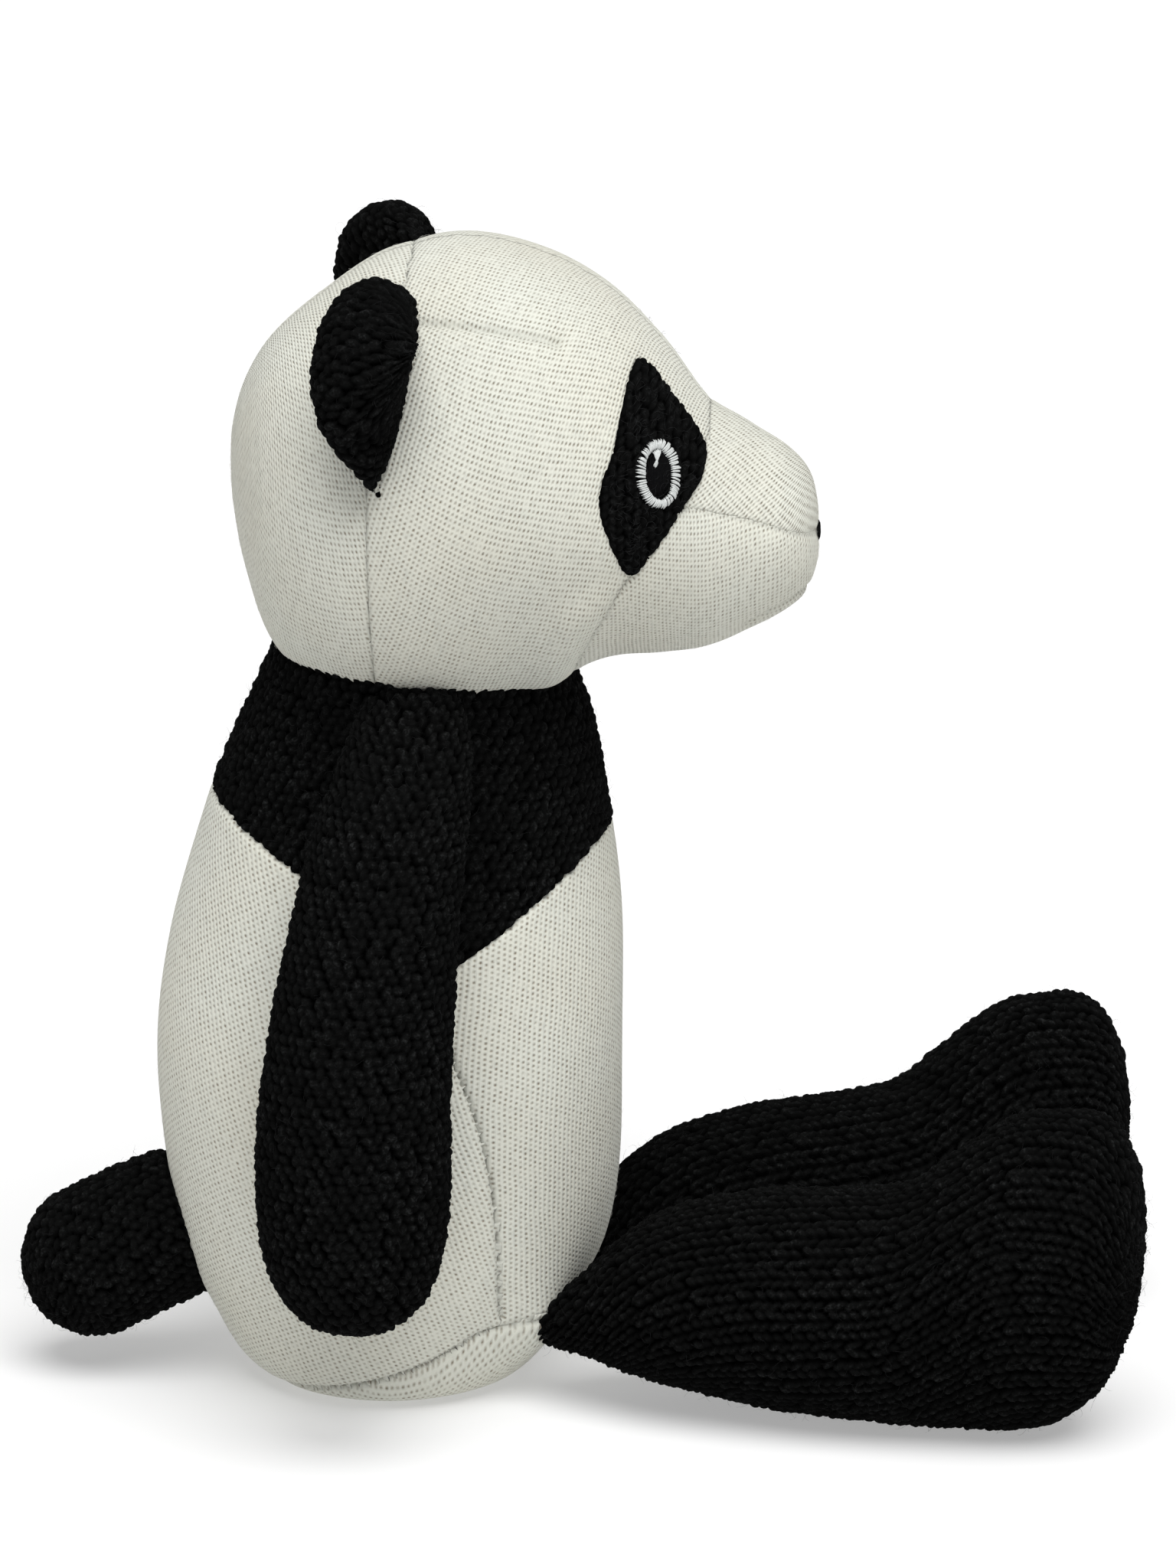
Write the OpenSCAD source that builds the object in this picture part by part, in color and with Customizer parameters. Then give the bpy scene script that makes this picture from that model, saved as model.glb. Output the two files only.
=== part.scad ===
// Plush panda, sitting: cream jersey and chunky black knit round a fibre filling.
// Millimetres. It faces -Y, its right hand is on -X, and it sits on Z = 0.

/* [Torso] */
// Height of the neck seam above the seat
neck_z = 192; // [186:1:198]
// Diameter of the neck seam
neck_dia = 76; // [72:1:80]
// Depth of the torso where it is deepest, belly to back
torso_depth = 123; // [118:1:126]
// Width of the torso where it is widest
torso_width = 111; // [104:1:112]
// Distance of the torso's middle behind the origin
torso_back = 48; // [46:1:50]

/* [Head] */
// Height of the head above the neck seam
head_height = 113.5; // [110:0.5:118]
// Width of the head across the cheeks
head_width = 121; // [114:1:124]
// Distance of the muzzle's tip in front of the origin
muzzle_reach = 64; // [60:1:68]
// Distance of the back of the head behind the origin
head_back = 88; // [86:1:91]
// How far the head nods each way
nod_limit = 10; // [5:1:14]

/* [Ears] */
// Length of an ear along its seam
ear_length = 55; // [46:1:58]
// How far an ear stands out of the head
ear_height = 28; // [22:1:30]
// Thickness of an ear, cupped front to domed back
ear_depth = 24; // [18:1:28]

/* [Arms] */
// Thickness of an arm, front to back
arm_thick = 48; // [42:1:50]
// Height of the hand's lowest point above the seat
hand_z = 35.5; // [30:0.5:40]

/* [Legs] */
// Length of a leg, hip seam to sole
leg_length = 154; // [148:1:158]
// Height of the toes above the heel
foot_height = 88; // [80:1:92]
// Angle that each leg splays outward
splay = 12; // [9:1:13]

/* [Tail] */
// Length of the tail, root to tip
tail_length = 48; // [40:1:52]
// Diameter of the tail
tail_dia = 39; // [34:1:41]

/* [Eyes] */
// Height of the embroidered eye ring
eye_height = 17.8; // [15:0.2:20]
// Width of the eye ring, seen from the side
eye_width = 11.8; // [10:0.2:13]
// Width of the satin stitch
satin = 2.4; // [1.6:0.1:3]

/* [Fabric] */
// Thickness of the cream jersey
jersey = 1.5; // [1:0.1:2]
// Thickness of the chunky black knit
knit = 3; // [2:0.1:4]
// Height of embroidery above the fabric
raised = 0.8; // [0.6:0.1:1.2]

/* [Hidden] */

cream = [0.86, 0.85, 0.8];
black = [0.06, 0.06, 0.06];
thread = [0.72, 0.74, 0.72];
fibre = [0.95, 0.95, 0.95];

gap = 0.5;                    // clearance between pieces that move apart
slack = 0.2;                  // between a cover and its filling
coarse = 1;                   // more of it, as a filling has fewer facets
ear_gap = 1.6;                // under an ear, so that it folds
skin = 0.02;                  // under embroidery
big = 400;                    // larger than the toy
neck_pivot = [0, 40, neck_z];
neck_ball = neck_dia / 2 - 2;
groove = nod_limit + 1;       // slope that the shoulders leave for a nod
groove_reach = 90;
arm_top = 186;                // where an arm's open end meets the shoulder
hip = [27, 6, 20];
hip_room = 17;
leg_open = 3.5;               // a leg's open end, behind its hip
tail_root = [0, 101, 42];
tail_drop = 27;
tail_hole = 8;
ear_root = [50, 44.5, 276];
ear_lean = 36;
ear_tip = -13;
ear_seam = -1;                // an ear's rim seam, before its middle

// A torso's height, half width and half depth as shares, and its middle
torso_rows = [
    for (r = [
        [0.00, 0.54, 0.51, 1.0], [0.02, 0.69, 0.655, 0.5], [0.09, 0.82, 0.785, 0.0],
        [0.21, 0.93, 0.92, -0.5], [0.43, 1.0, 1.0, 0.3], [0.625, 0.965, 0.965, -2.0],
        [0.81, 0.84, 0.85, -5.0], [0.94, 0.71, 0.71, -7.5], [1.07, 0.52, 0.51, -8.5]
    ])
    [r[0] * neck_z, 0, torso_back + r[3], r[1] * torso_width / 2, r[2] * torso_depth / 2]
];

// A head's place from muzzle (0) to back (1), top and bottom over its height, half width share
head_rows = [
    for (r = [
        [0.000, 0.37, 0.25, 0.10], [0.018, 0.45, 0.18, 0.27], [0.055, 0.505, 0.135, 0.40],
        [0.12, 0.56, 0.09, 0.50], [0.195, 0.63, 0.055, 0.64], [0.27, 0.765, 0.045, 0.79],
        [0.36, 0.885, 0.035, 0.92], [0.47, 0.965, -0.03, 0.99], [0.60, 1.0, -0.08, 1.0],
        [0.73, 0.965, -0.09, 0.96], [0.85, 0.865, -0.04, 0.84], [0.93, 0.77, 0.06, 0.66],
        [0.975, 0.67, 0.23, 0.42], [1.0, 0.56, 0.38, 0.16]
    ])
    [
        r[0] * (head_back + muzzle_reach) - muzzle_reach,
        neck_z + (r[1] + r[2]) / 2 * head_height, 0,
        (r[1] - r[2]) / 2 * head_height, r[3] * head_width / 2
    ]
];

// An arm from hand to shoulder: rise, outward place, forward place, half width, thickness share
arm_rows = [
    for (r = [
        [0.000, 78.0, 54.0, 5.0, 0.20], [0.025, 78.5, 54.2, 12.5, 0.58], [0.09, 78.8, 54.6, 18.0, 0.86],
        [0.21, 79.3, 55.0, 21.0, 1.00], [0.43, 77.8, 53.5, 20.5, 1.00], [0.62, 72.5, 50.0, 18.5, 0.90],
        [0.75, 67.5, 47.0, 16.5, 0.82], [0.87, 60.0, 43.5, 14.5, 0.72], [0.96, 53.5, 41.0, 10.5, 0.50],
        [1.000, 50.0, 40.5, 5.0, 0.24]
    ])
    [hand_z + r[0] * (191 - hand_z), r[1], r[2], r[3], r[4] * arm_thick / 2]
];

// A leg from sole to hip: place along it, top, bottom and half width, over the foot's height
leg_rows = [
    for (r = [
        [-1.000, 0.70, 0.48, 0.09], [-0.985, 0.86, 0.33, 0.19], [-0.945, 0.97, 0.16, 0.255],
        [-0.88, 1.00, 0.055, 0.295], [-0.80, 0.97, 0.01, 0.315], [-0.71, 0.85, -0.01, 0.32],
        [-0.62, 0.74, -0.01, 0.325], [-0.49, 0.705, 0.01, 0.32], [-0.37, 0.68, 0.04, 0.305],
        [-0.24, 0.63, 0.07, 0.27], [-0.15, 0.54, 0.115, 0.22], [-0.08, 0.42, 0.15, 0.155],
        [-0.02, 0.33, 0.165, 0.095], [0.05, 0.26, 0.19, 0.04]
    ])
    [
        r[0] * leg_length, (r[1] + r[2]) / 2 * foot_height, 0,
        (r[1] - r[2]) / 2 * foot_height, r[3] * foot_height
    ]
];

// An ear from root to rim: a half disc with a flat front and a domed back
ear_rows = [
    for (r = [
        [-0.35, 0.25], [0.0, 0.32], [0.18, 0.55], [0.40, 0.92], [0.62, 1.0], [0.80, 0.88],
        [0.92, 0.66], [0.99, 0.35]
    ])
    [
        r[0] * ear_height, (r[1] - 0.45) * ear_depth / 2, 0,
        r[1] * ear_depth / 2, sqrt(1 - r[0] * r[0]) * ear_length / 2
    ]
];

// Side outlines, as [y, z], that the fabric panels are cut to
yoke_edge = [
    [120, 172], [93, 158.5], [70, 147], [38, 119], [-8, 149], [-30, 163], [-30, 240], [120, 240]
];
gusset_edge = [[110, -10], [84, 2], [52, 8], [34, 15], [20, 25], [-30, 27], [-30, -10]];
belly_edge = [[35, 125], [34, 106], [26, 66], [18, 26], [18, -10], [-60, -10], [-60, 170], [35, 170]];
patch_edge = [[-18, 281], [-28, 270], [-35.5, 255], [-15, 226.5], [-7.5, 247]];
muzzle_edge = [[-36.5, 290], [-36, 262], [-35.5, 255], [-28.5, 244], [-50, 236.5], [-90, 225], [-90, 290]];
chin_edge = [[-28.5, 244], [-50, 236.5], [-90, 225], [-90, 170], [4, 170], [-2, 204], [-15, 226.5]];
face_edge = [
    [-36.5, 290], [-36, 262], [-35.5, 255], [-28, 270], [-18, 281], [-7.5, 247],
    [-15, 226.5], [-2, 204], [4, 170], [-90, 170], [-90, 290]
];
coronal_y = 47;
eye_place = [-22, 252];
nose_place = [0, 226];
nose_outline = [[-7, 2], [0, 3], [7, 2], [4, -2], [0, -4], [-4, -2]];
eye_tilt = 6;
glint_place = [0.6, 2.6];
glint_size = [1.6, 2.6];

// A smooth curve through a table's rows; u counts rows from the first
function through(rows, u) =
    let (
        i = min(floor(u), len(rows) - 2),
        t = u - i,
        a = rows[max(i - 1, 0)],
        b = rows[i],
        c = rows[i + 1],
        d = rows[min(i + 2, len(rows) - 1)]
    )
    (2 * b + (c - a) * t + (2 * a - 5 * b + 4 * c - d) * t * t + (3 * b - a - 3 * c + d) * t * t * t) / 2;

// A point of a ring, turned so that the form runs along X, Y or Z
function turned(axis, s, p, q) = axis == "z" ? [p, q, s] : axis == "y" ? [q, s, p] : [s, p, q];

// A closed form through oval rings: each row is [place, centre p, centre q, half p, half q]
module form(rows, axis, grow = 0, sides = 24, steps = 2) {
    count = (len(rows) - 1) * steps;
    low = rows[0][0];
    high = rows[len(rows) - 1][0];
    middle = (low + high) / 2;
    stretch = 1 + 2 * grow / (high - low);
    points = [
        for (k = [0:count], i = [0:sides - 1])
        let (r = through(rows, k / steps), a = 360 * i / sides)
        turned(
            axis, middle + (r[0] - middle) * stretch,
            r[1] + max(r[3] + grow, 0.4) * cos(a), r[2] + max(r[4] + grow, 0.4) * sin(a)
        )
    ];
    walls = [
        for (k = [0:count - 1], i = [0:sides - 1])
        let (j = (i + 1) % sides, a = k * sides, b = a + sides)
        each [[a + i, b + i, b + j], [a + i, b + j, a + j]]
    ];
    ends = [
        [for (i = [0:sides - 1]) i],
        [for (i = [sides - 1:-1:0]) count * sides + i]
    ];
    polyhedron(points = points, faces = concat(walls, ends));
}

// Free fabric shapes stay one closed skin of facets
module soft() {
    resize([0, 0, 0]) children();
}

// A side outline pushed through the whole width, or through one half of it
module side_cut(outline, half = 0) {
    start = half == 0 ? -big / 2 : half > 0 ? 0 : -big;
    translate([start, 0, 0]) rotate([90, 0, 90]) linear_extrude(big) polygon(outline);
}

// Everything above a height
module above(z) {
    translate([-big / 2, -big / 2, z]) cube(big);
}

// The left one as drawn, or its mirror image for the right
module on_side(side) {
    mirror([side > 0 ? 0 : 1, 0, 0]) children();
}

module at_hip() {
    translate([hip[0], hip[1], 0]) rotate([0, 0, splay]) children();
}

module at_tail() {
    translate(tail_root) rotate([-90 - tail_drop, 0, 0]) children();
}

module at_ear() {
    translate(ear_root) rotate([-ear_tip, 0, 0]) rotate([0, -ear_lean, 0]) children();
}

// Room for the neck ball and for a nod
module neck_room() {
    translate(neck_pivot) {
        sphere(neck_ball + gap, $fn = 32);
        rotate_extrude($fn = 32) polygon([
            [0, skin], [groove_reach, -groove_reach * tan(groove)], [groove_reach, groove_reach], [0, groove_reach]
        ]);
    }
}

// Hollows in the torso that the legs and the tail turn in
module limb_room() {
    for (side = [-1, 1]) on_side(side) translate(hip) sphere(hip_room, $fn = 20);
    translate(tail_root) sphere(tail_dia / 2 + 4 * gap, $fn = 32);
}

module torso_form(grow = 0) {
    difference() {
        form(torso_rows, "z", grow, 32);
        neck_room();
        limb_room();
    }
}

module torso_shell(thick) {
    difference() {
        torso_form();
        form(torso_rows, "z", -thick, 32);
    }
}

module yoke() {
    color(black) soft() intersection() {
        torso_shell(knit);
        side_cut(yoke_edge);
    }
}

module seat_gusset() {
    color(cream) soft() intersection() {
        torso_shell(jersey);
        side_cut(gusset_edge);
    }
}

module belly_panel() {
    color(cream) soft() difference() {
        intersection() {
            torso_shell(jersey);
            side_cut(belly_edge);
        }
        side_cut(yoke_edge);
        side_cut(gusset_edge);
    }
}

module back_panel() {
    color(cream) soft() difference() {
        torso_shell(jersey);
        side_cut(belly_edge);
        side_cut(yoke_edge);
        side_cut(gusset_edge);
    }
}

module body_filling() {
    color(fibre) soft() difference() {
        form(torso_rows, "z", -knit - slack, 24, 1);
        neck_room();
        limb_room();
    }
}

module neck_filling() {
    color(fibre) translate(neck_pivot) sphere(neck_ball, $fn = 64);
}

module head_form(grow = 0, sides = 30, steps = 2) {
    form(head_rows, "y", grow, sides, steps);
}

// What the head keeps above the neck seam and round the neck ball
module head_limit() {
    difference() {
        above(neck_z + gap);
        translate(neck_pivot) sphere(neck_ball + gap, $fn = 48);
    }
}

module head_shell() {
    difference() {
        intersection() {
            head_form();
            head_limit();
        }
        head_form(-jersey);
    }
}

module head_front_panel() {
    color(cream) soft() difference() {
        head_shell();
        translate([-big / 2, coronal_y, 0]) cube(big);
        side_cut(face_edge);
    }
}

module head_back_panel() {
    color(cream) soft() intersection() {
        head_shell();
        translate([-big / 2, coronal_y, 0]) cube(big);
    }
}

module muzzle_panel() {
    color(cream) soft() intersection() {
        head_shell();
        side_cut(muzzle_edge);
    }
}

module chin_panel() {
    color(cream) soft() intersection() {
        head_shell();
        side_cut(chin_edge);
    }
}

module head_filling() {
    color(fibre) soft() intersection() {
        head_form(-jersey - slack - coarse, 24, 1);
        head_limit();
    }
}

module eye_patch(side) {
    color(black) soft() intersection() {
        head_shell();
        side_cut(patch_edge, side);
    }
}

// A thin raised skin over the head, cut to an outline that looks sideways
module stitched(side) {
    soft() intersection() {
        difference() {
            head_form(raised);
            head_form(skin);
        }
        translate([side > 0 ? 0 : -big, eye_place[0], eye_place[1]])
            rotate([90, 0, 90]) linear_extrude(big) children();
    }
}

module eye_oval(inset) {
    scale([eye_width - 2 * inset, eye_height - 2 * inset]) circle(d = 1, $fn = 32);
}

module eye_ring(side) {
    color(thread) stitched(side) difference() {
        rotate(eye_tilt) eye_oval(0);
        rotate(eye_tilt) eye_oval(satin);
    }
}

module eye_glint(side) {
    color(thread) stitched(side) translate(glint_place) scale(glint_size) circle(d = 1, $fn = 16);
}

module nose() {
    color(black) soft() intersection() {
        difference() {
            head_form(raised);
            head_form(skin);
        }
        translate([nose_place[0], 0, nose_place[1]]) rotate([90, 0, 0]) linear_extrude(big)
            polygon(nose_outline);
    }
}

// One half of an ear: in front of its rim seam (-1) or behind it (1)
module ear_half(facing) {
    color(black) soft() difference() {
        at_ear() intersection() {
            form(ear_rows, "x", 0, 20, 1);
            translate([-big / 2, ear_seam - (facing > 0 ? 0 : big), -big / 2]) cube(big);
        }
        head_form(ear_gap);
    }
}

module arm_cover() {
    color(black) soft() difference() {
        form(arm_rows, "z", 0, 20);
        form(arm_rows, "z", -knit, 20);
        above(arm_top);
    }
}

module arm_filling() {
    color(fibre) soft() difference() {
        form(arm_rows, "z", -knit - slack - coarse, 16, 1);
        above(arm_top);
    }
}

module leg_cover() {
    color(black) soft() intersection() {
        at_hip() difference() {
            form(leg_rows, "y", 0, 20);
            intersection() {
                form(leg_rows, "y", -knit, 20);
                above(knit);
            }
            translate([-big / 2, leg_open, -big / 2]) cube(big);
        }
        above(0);
    }
}

module leg_filling() {
    color(fibre) soft() at_hip() difference() {
        intersection() {
            form(leg_rows, "y", -knit - slack - coarse, 16, 1);
            above(knit + slack);
        }
        translate([-big / 2, leg_open, -big / 2]) cube(big);
    }
}

// A round ended stub, drawn as the half profile that turns about its axis
module stub_profile(radius) {
    reach = tail_length - tail_dia / 2;
    intersection() {
        union() {
            circle(radius, $fn = 64);
            translate([0, reach / 2]) square([2 * radius, reach], center = true);
            translate([0, reach]) circle(radius, $fn = 64);
        }
        translate([0, -big / 2]) square([big, big]);
    }
}

module tail_cover() {
    color(black) at_tail() rotate_extrude($fn = 64) difference() {
        stub_profile(tail_dia / 2);
        stub_profile(tail_dia / 2 - knit);
        translate([0, -big]) square([tail_hole, big]);
    }
}

module tail_filling() {
    color(fibre) at_tail() rotate_extrude($fn = 64) stub_profile(tail_dia / 2 - knit - slack);
}

yoke();
belly_panel();
back_panel();
seat_gusset();
body_filling();
neck_filling();
head_front_panel();
head_back_panel();
muzzle_panel();
chin_panel();
head_filling();
eye_patch(-1);  // eye_patch_right
eye_patch(1);  // eye_patch_left
eye_ring(-1);  // eye_ring_right
eye_ring(1);  // eye_ring_left
eye_glint(-1);  // eye_glint_right
eye_glint(1);  // eye_glint_left
nose();
on_side(-1) ear_half(-1);  // ear_front_right
on_side(1) ear_half(-1);  // ear_front_left
on_side(-1) ear_half(1);  // ear_back_right
on_side(1) ear_half(1);  // ear_back_left
on_side(-1) arm_cover();  // arm_cover_right
on_side(1) arm_cover();  // arm_cover_left
on_side(-1) arm_filling();  // arm_filling_right
on_side(1) arm_filling();  // arm_filling_left
on_side(-1) leg_cover();  // leg_cover_right
on_side(1) leg_cover();  // leg_cover_left
on_side(-1) leg_filling();  // leg_filling_right
on_side(1) leg_filling();  // leg_filling_left
tail_cover();
tail_filling();
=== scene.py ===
"""Plush panda: cream jersey and chunky black knit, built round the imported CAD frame."""

import math

import bpy
import mathutils
import numpy as np
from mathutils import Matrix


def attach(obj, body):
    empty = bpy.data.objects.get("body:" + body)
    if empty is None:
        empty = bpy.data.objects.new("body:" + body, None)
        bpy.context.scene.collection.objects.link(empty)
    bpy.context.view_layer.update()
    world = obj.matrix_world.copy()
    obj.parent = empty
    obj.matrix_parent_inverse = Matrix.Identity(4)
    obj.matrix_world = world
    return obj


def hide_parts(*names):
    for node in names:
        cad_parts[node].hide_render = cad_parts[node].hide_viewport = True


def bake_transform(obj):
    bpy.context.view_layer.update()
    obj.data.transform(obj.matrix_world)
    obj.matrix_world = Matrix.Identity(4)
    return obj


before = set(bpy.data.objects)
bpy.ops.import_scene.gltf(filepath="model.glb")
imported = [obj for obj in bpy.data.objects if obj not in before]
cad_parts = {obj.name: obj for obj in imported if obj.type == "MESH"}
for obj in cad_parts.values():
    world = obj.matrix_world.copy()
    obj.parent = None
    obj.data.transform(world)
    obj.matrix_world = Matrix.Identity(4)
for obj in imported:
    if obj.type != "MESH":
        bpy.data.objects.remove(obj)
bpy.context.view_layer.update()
MM = 0.001
SIDES = {"right": -1, "left": 1}

# ---- Camera, floor and light -------------------------------------------------------------------

VIEW_FROM = 271.0  # degrees round the toy: its right side, a touch towards the face
VIEW_ABOVE = 14.5  # degrees above the horizon
VIEW_DISTANCE = 2300  # mm, a long lens
VIEW_TARGET = (0, -4, 159.7)  # mm, what the middle of the picture shows
VIEW_HEIGHT = 409.6  # mm that the picture's height spans there
SUN_TOWARDS, SUN_SPREAD, SUN_STRENGTH = (-0.42, -0.12, 0.9), 50, 3.6  # spread in degrees
SKY_STRENGTH = 0.3
FLOOR_SIZE, FLOOR_DROP = 30, 0.0004  # m; just under the toy
FLOOR_GREY, FLOOR_GLOW = 0.55, 0.36


def make_camera():
    data = bpy.data.cameras.new("camera")
    cam = bpy.data.objects.new("camera", data)
    bpy.context.scene.collection.objects.link(cam)
    a, e = math.radians(VIEW_FROM), math.radians(VIEW_ABOVE)
    back = np.array([math.sin(a) * math.cos(e), -math.cos(a) * math.cos(e), math.sin(e)])
    cam.location = (np.array(VIEW_TARGET) + back * VIEW_DISTANCE) * MM
    cam.rotation_euler = (math.pi / 2 - e, 0, a)
    data.sensor_width = 36
    data.lens = data.sensor_width * VIEW_DISTANCE / VIEW_HEIGHT
    data.clip_end = 20
    bpy.context.scene.camera = cam


def sun_light(name, towards, spread, strength):
    data = bpy.data.lights.new(name, "SUN")
    data.angle, data.energy = math.radians(spread), strength
    lamp = bpy.data.objects.new(name, data)
    bpy.context.scene.collection.objects.link(lamp)
    lamp.rotation_mode = "QUATERNION"
    lamp.rotation_quaternion = mathutils.Vector(towards).to_track_quat("Z", "Y")


def make_studio():
    scene = bpy.context.scene
    scene.view_settings.view_transform = "Standard"
    world = bpy.data.worlds.new("studio")
    world.use_nodes = True
    background = world.node_tree.nodes["Background"]
    background.inputs["Color"].default_value = (1, 1, 1, 1)
    background.inputs["Strength"].default_value = SKY_STRENGTH
    scene.world = world
    sun_light("soft_window", SUN_TOWARDS, SUN_SPREAD, SUN_STRENGTH)
    bpy.ops.mesh.primitive_plane_add(size=FLOOR_SIZE, location=(0, 0, -FLOOR_DROP))
    floor = bpy.context.object
    floor.name = "floor"
    paint = Paint("floor_paper", (FLOOR_GREY,) * 3, 0.9)
    paint.shader.inputs["Emission Color"].default_value = (1, 1, 1, 1)
    paint.shader.inputs["Emission Strength"].default_value = FLOOR_GLOW
    paint.bump(paint.noise(400.0, 3), 0.05, 0.0003)
    floor.data.materials.append(paint.material)


# ---- Materials ---------------------------------------------------------------------------------


class Paint:
    """A Principled material with short helpers for its nodes."""

    def __init__(self, name, colour, roughness, sheen=0.0):
        self.material = bpy.data.materials.new(name)
        self.material.use_nodes = True
        self.tree = self.material.node_tree
        self.shader = self.tree.nodes["Principled BSDF"]
        self.shader.inputs["Base Color"].default_value = (*colour, 1)
        self.shader.inputs["Roughness"].default_value = roughness
        self.shader.inputs["Specular IOR Level"].default_value = 0.25
        self.shader.inputs["Sheen Weight"].default_value = sheen
        self.shader.inputs["Sheen Roughness"].default_value = 0.5
        self.last_bump = None

    def feed(self, socket, value):
        if isinstance(value, bpy.types.NodeSocket):
            self.tree.links.new(value, socket)
        else:
            socket.default_value = value

    def math(self, how, a, b=0.0, c=0.0):
        n = self.tree.nodes.new("ShaderNodeMath")
        n.operation = how
        for socket, value in zip(n.inputs, (a, b, c)):
            self.feed(socket, value)
        return n.outputs[0]

    def noise(self, scale, detail=2.0):
        n = self.tree.nodes.new("ShaderNodeTexNoise")
        n.inputs["Scale"].default_value = scale
        n.inputs["Detail"].default_value = detail
        where = self.tree.nodes.new("ShaderNodeTexCoord")
        self.tree.links.new(where.outputs["Object"], n.inputs["Vector"])
        return n.outputs[0]

    def ramp(self, value, low, high, out_low, out_high):
        n = self.tree.nodes.new("ShaderNodeMapRange")
        for socket, v in zip(n.inputs, (value, low, high, out_low, out_high)):
            self.feed(socket, v)
        return n.outputs[0]

    def mix(self, share, first, second):
        n = self.tree.nodes.new("ShaderNodeMix")
        n.data_type = "RGBA"
        self.feed(n.inputs[0], share)
        for socket, v in ((n.inputs[6], first), (n.inputs[7], second)):
            self.feed(socket, v if isinstance(v, bpy.types.NodeSocket) else (*v, 1))
        return n.outputs[2]

    def colour(self, value):
        self.tree.links.new(value, self.shader.inputs["Base Color"])

    def bump(self, height, strength, distance):
        n = self.tree.nodes.new("ShaderNodeBump")
        n.inputs["Strength"].default_value = strength
        n.inputs["Distance"].default_value = distance
        self.feed(n.inputs["Height"], height)
        if self.last_bump is not None:
            self.tree.links.new(self.last_bump, n.inputs["Normal"])
        self.last_bump = n.outputs[0]
        self.tree.links.new(n.outputs[0], self.shader.inputs["Normal"])

    def knit_place(self, layer="knit"):
        n = self.tree.nodes.new("ShaderNodeUVMap")
        n.uv_map = layer
        split = self.tree.nodes.new("ShaderNodeSeparateXYZ")
        self.tree.links.new(n.outputs[0], split.inputs[0])
        return split.outputs[0], split.outputs[1]


def jersey_material(name, face, pit_shade):
    """Fine jersey: ribs with a staggered lattice of small holes between their stitches, with painted
    shade in the holes and along the seams.
    """
    p = Paint(name, face, 0.9, 0.12)
    p.shader.inputs["Specular IOR Level"].default_value = 0.12
    across, along = p.knit_place()
    across = p.math("ADD", across, p.ramp(p.noise(70.0, 2), 0.3, 0.7, -0.2, 0.2))
    odd = p.math("MULTIPLY", p.math("FRACT", p.math("MULTIPLY", p.math("FLOOR", across), 0.5)), 2.0)
    row = p.math("FRACT", p.math("ADD", along, p.math("MULTIPLY", odd, 0.5)))
    edge = p.math("MULTIPLY", p.math("ABSOLUTE", p.math("SUBTRACT", p.math("FRACT", across), 0.5)), 2.0)
    wave = p.math("MULTIPLY", p.math("ABSOLUTE", p.math("SUBTRACT", row, 0.5)), 2.0)
    hole = p.math("MULTIPLY", p.ramp(edge, 0.05, 0.7, 1.0, 0.0), p.ramp(wave, 0.1, 0.75, 1.0, 0.0))
    hole = p.math("MULTIPLY", hole, p.ramp(odd, 0.0, 1.0, 1.0, 0.85))
    hole = p.math("MULTIPLY", hole, p.ramp(p.noise(600.0, 2), 0.32, 0.62, 0.35, 1.2))
    height = p.math("SUBTRACT", p.math("MULTIPLY", edge, 0.5), hole)
    patchy = p.ramp(p.noise(28.0, 3), 0.3, 0.7, 0.0, 0.5)
    fleck = p.ramp(p.noise(500.0, 3), 0.5, 0.72, 0.0, 0.4)
    warm = tuple(c * k for c, k in zip(face, (0.97, 0.93, 0.88)))
    cloth = p.mix(patchy, face, warm)
    cloth = p.mix(fleck, cloth, tuple(c * 0.8 for c in face))
    # painted shade: the holes between the stitches are coloured darker, as the shade that falls in them
    cloth = p.mix(p.math("MULTIPLY", hole, 0.8), cloth, pit_shade)
    # painted shade: the cloth is darkened along its seams and darts, where shade falls in their creases
    close, _ = p.knit_place("seam")
    p.colour(p.mix(p.math("MULTIPLY", close, 0.22), cloth, tuple(c * 0.5 for c in face)))
    p.bump(height, 0.7, 0.0004)
    p.bump(p.noise(2500.0, 2), 0.3, 0.0002)
    return p.material


def yarn_material(name, pit_shade, face, crest_highlight):
    """Black yarn: painted shade between the stitches, and a painted highlight speckled with short fibres
    on their heads.
    """
    p = Paint(name, (face,) * 3, 0.95)
    p.shader.inputs["Specular IOR Level"].default_value = 0.02
    high, _ = p.knit_place()
    strands = p.noise(1300.0, 3)
    highlight_patches = p.ramp(p.noise(60.0, 3), 0.35, 0.75, 0.25, 1.0)
    # painted shade: the yarn is coloured darker low between the stitch heads
    body = p.mix(p.ramp(high, 0.15, 0.85, 0.0, 1.0), (pit_shade,) * 3, (face, face * 1.03, face * 1.02))
    # painted highlight: the stitch heads are speckled lighter where the fibre noise is high, more in some
    # patches
    tip = p.math("MULTIPLY", p.ramp(high, 0.6, 1.0, 0.0, 1.0), p.ramp(strands, 0.48, 0.7, 0.0, 1.0))
    p.colour(p.mix(p.math("MULTIPLY", tip, highlight_patches), body, (crest_highlight, crest_highlight * 1.05, crest_highlight * 1.06)))
    p.bump(strands, 0.7, 0.0005)
    p.bump(p.noise(3500.0, 2), 0.4, 0.0002)
    return p.material


def thread_material(name, colour, shade, gloss, sheen=0.3, shine=0.25):
    """Embroidery thread: fine silky strands along each stitch."""
    p = Paint(name, colour, gloss, sheen)
    p.shader.inputs["Specular IOR Level"].default_value = shine
    strands = p.noise(1800.0, 2)
    p.colour(p.mix(p.ramp(strands, 0.35, 0.7, 0.0, 0.6), colour, shade))
    p.bump(strands, 0.3, 0.0001)
    return p.material


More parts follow.
